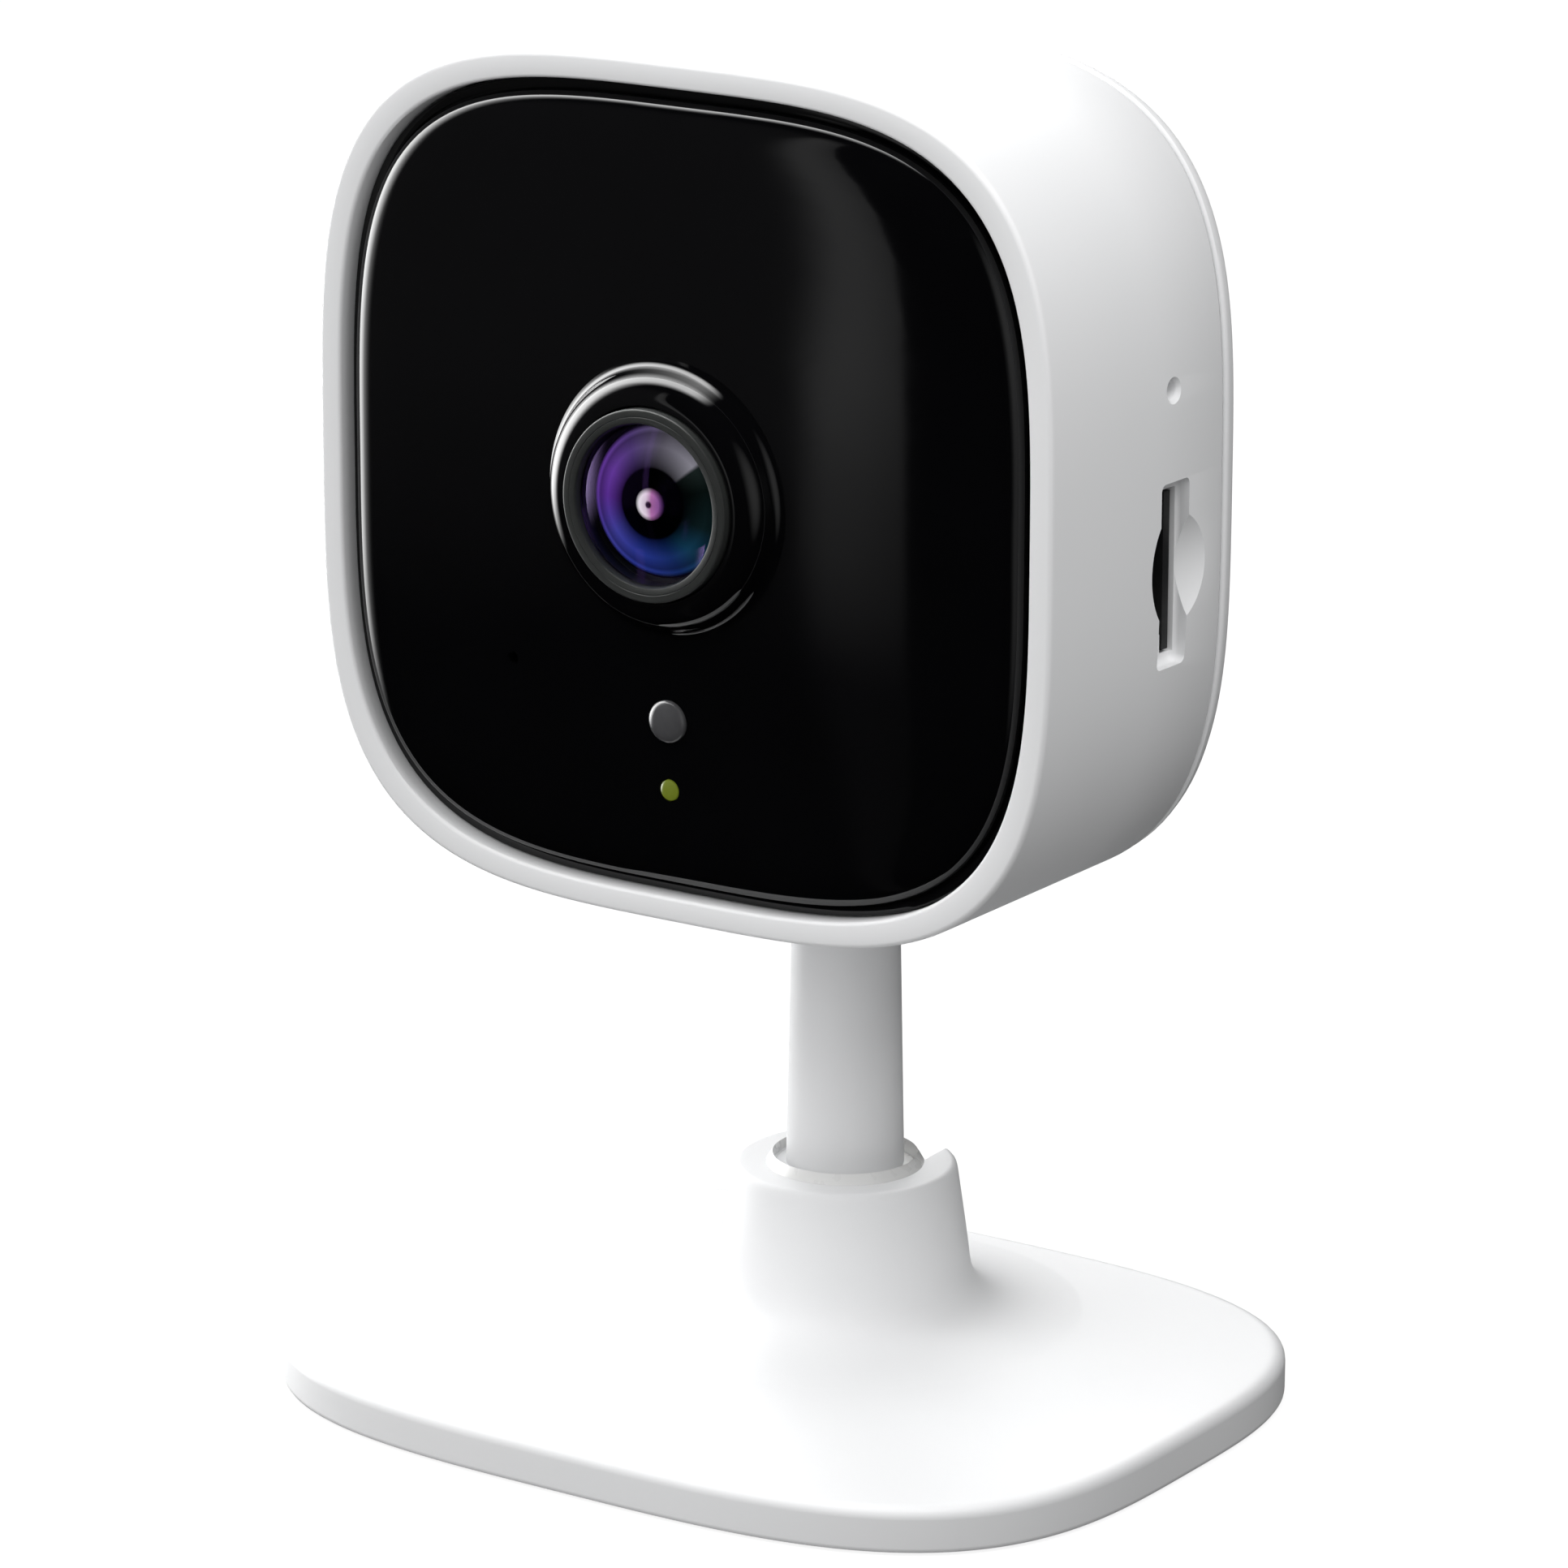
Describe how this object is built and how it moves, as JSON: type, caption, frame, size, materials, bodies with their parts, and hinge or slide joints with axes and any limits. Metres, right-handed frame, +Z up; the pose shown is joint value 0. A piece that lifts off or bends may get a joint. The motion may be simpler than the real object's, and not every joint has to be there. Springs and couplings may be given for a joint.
{
  "type": "security camera",
  "caption": "Square-headed indoor security camera on a short stem with a ball joint in a flat table base, and a notch to fold back for wall mounting.",
  "frame": {"origin": "centre of the anti-slip pad's underside, under the middle of the base", "axes": "+Z up, -Y the way the lens faces, +X the viewer's right when facing the camera"},
  "size_m": [0.0676, 0.0548, 0.0972],
  "materials": {
    "white_abs": "satin",
    "black_gloss": "high gloss",
    "black_plastic": "matt",
    "grey_ring": "satin",
    "rubber": "matt",
    "white_pom": "smooth",
    "steel": "bright",
    "board_green": "solder mask",
    "lens_glass": "coated",
    "led_resin": "clear resin",
    "light_pipe": "tinted clear",
    "grey_window": "smoked",
    "silicone_grey": "soft",
    "copper": "enamelled wire",
    "filter_glass": "coated",
    "ivory_plastic": "satin",
    "ribbon_white": "film"
  },
  "bodies": {
    "base": {"base_shell": "white_abs", "base_pad": "rubber", "base_cover": "white_abs", "ballast_plate": "steel", "base_cover_screws": "steel", "ball_cup": "white_pom", "disc_spring": "steel", "cup_retainer": "steel", "retainer_screws": "steel"},
    "ball": {"swivel_ball": "white_pom"},
    "head": {"stem": "white_abs", "spindle": "steel", "spindle_washer": "steel", "spindle_screw": "steel", "stem_pin": "steel", "stem_bracket": "black_plastic", "bracket_screws": "steel", "front_housing": "white_abs", "front_panel": "black_gloss", "panel_tape": "rubber", "sensor_window": "grey_window", "led_light_pipe": "light_pipe", "mic_boot": "rubber", "led_board": "board_green", "led_board_screws": "steel", "ir_leds": "led_resin", "light_sensor": "ivory_plastic", "status_led": "led_resin", "microphone": "steel", "lens_barrel": "black_plastic", "lens_ring": "grey_ring", "front_lens": "lens_glass", "lens_mask": "black_plastic", "inner_lens": "lens_glass", "lens_holder": "black_plastic", "filter_coil": "copper", "image_sensor": "black_plastic", "main_board": "board_green", "board_screws": "steel", "soc_shield": "steel", "thermal_pad": "silicone_grey", "card_socket": "steel", "reset_switch": "steel", "power_jack": "black_plastic", "jack_pin": "steel", "ribbon_cable": "ribbon_white", "ribbon_connectors": "ivory_plastic", "speaker": "black_plastic", "speaker_gasket": "rubber", "wifi_antenna": "copper", "rear_cover": "white_abs"},
    "filter": {"ir_cut_filter": "filter_glass"},
    "button": {"reset_button": "black_plastic"},
    "card": {"memory_card": "black_plastic"}
  },
  "joints": [
    {"name": "stem_tilt", "type": "hinge", "parent": "base", "child": "ball", "pos_m": [0, 0.0079, 0.0104], "axis": [-1, 0, 0], "range_deg": [-5, 90]},
    {"name": "head_swivel", "type": "hinge", "parent": "ball", "child": "head", "pos_m": [0, 0.0079, 0.0104], "axis": [0, 0, 1], "continuous": true},
    {"name": "filter_shift", "type": "slide", "parent": "head", "child": "filter", "axis": [1, 0, 0], "range_m": [0, 0.0036]},
    {"name": "reset_press", "type": "slide", "parent": "head", "child": "button", "axis": [-1, 0, 0], "range_m": [0, 0.0003], "stiffness_N_per_m": 800},
    {"name": "card_slide", "type": "slide", "parent": "head", "child": "card", "axis": [1, 0, 0], "range_m": [-0.0006, 0.014]}
  ]
}
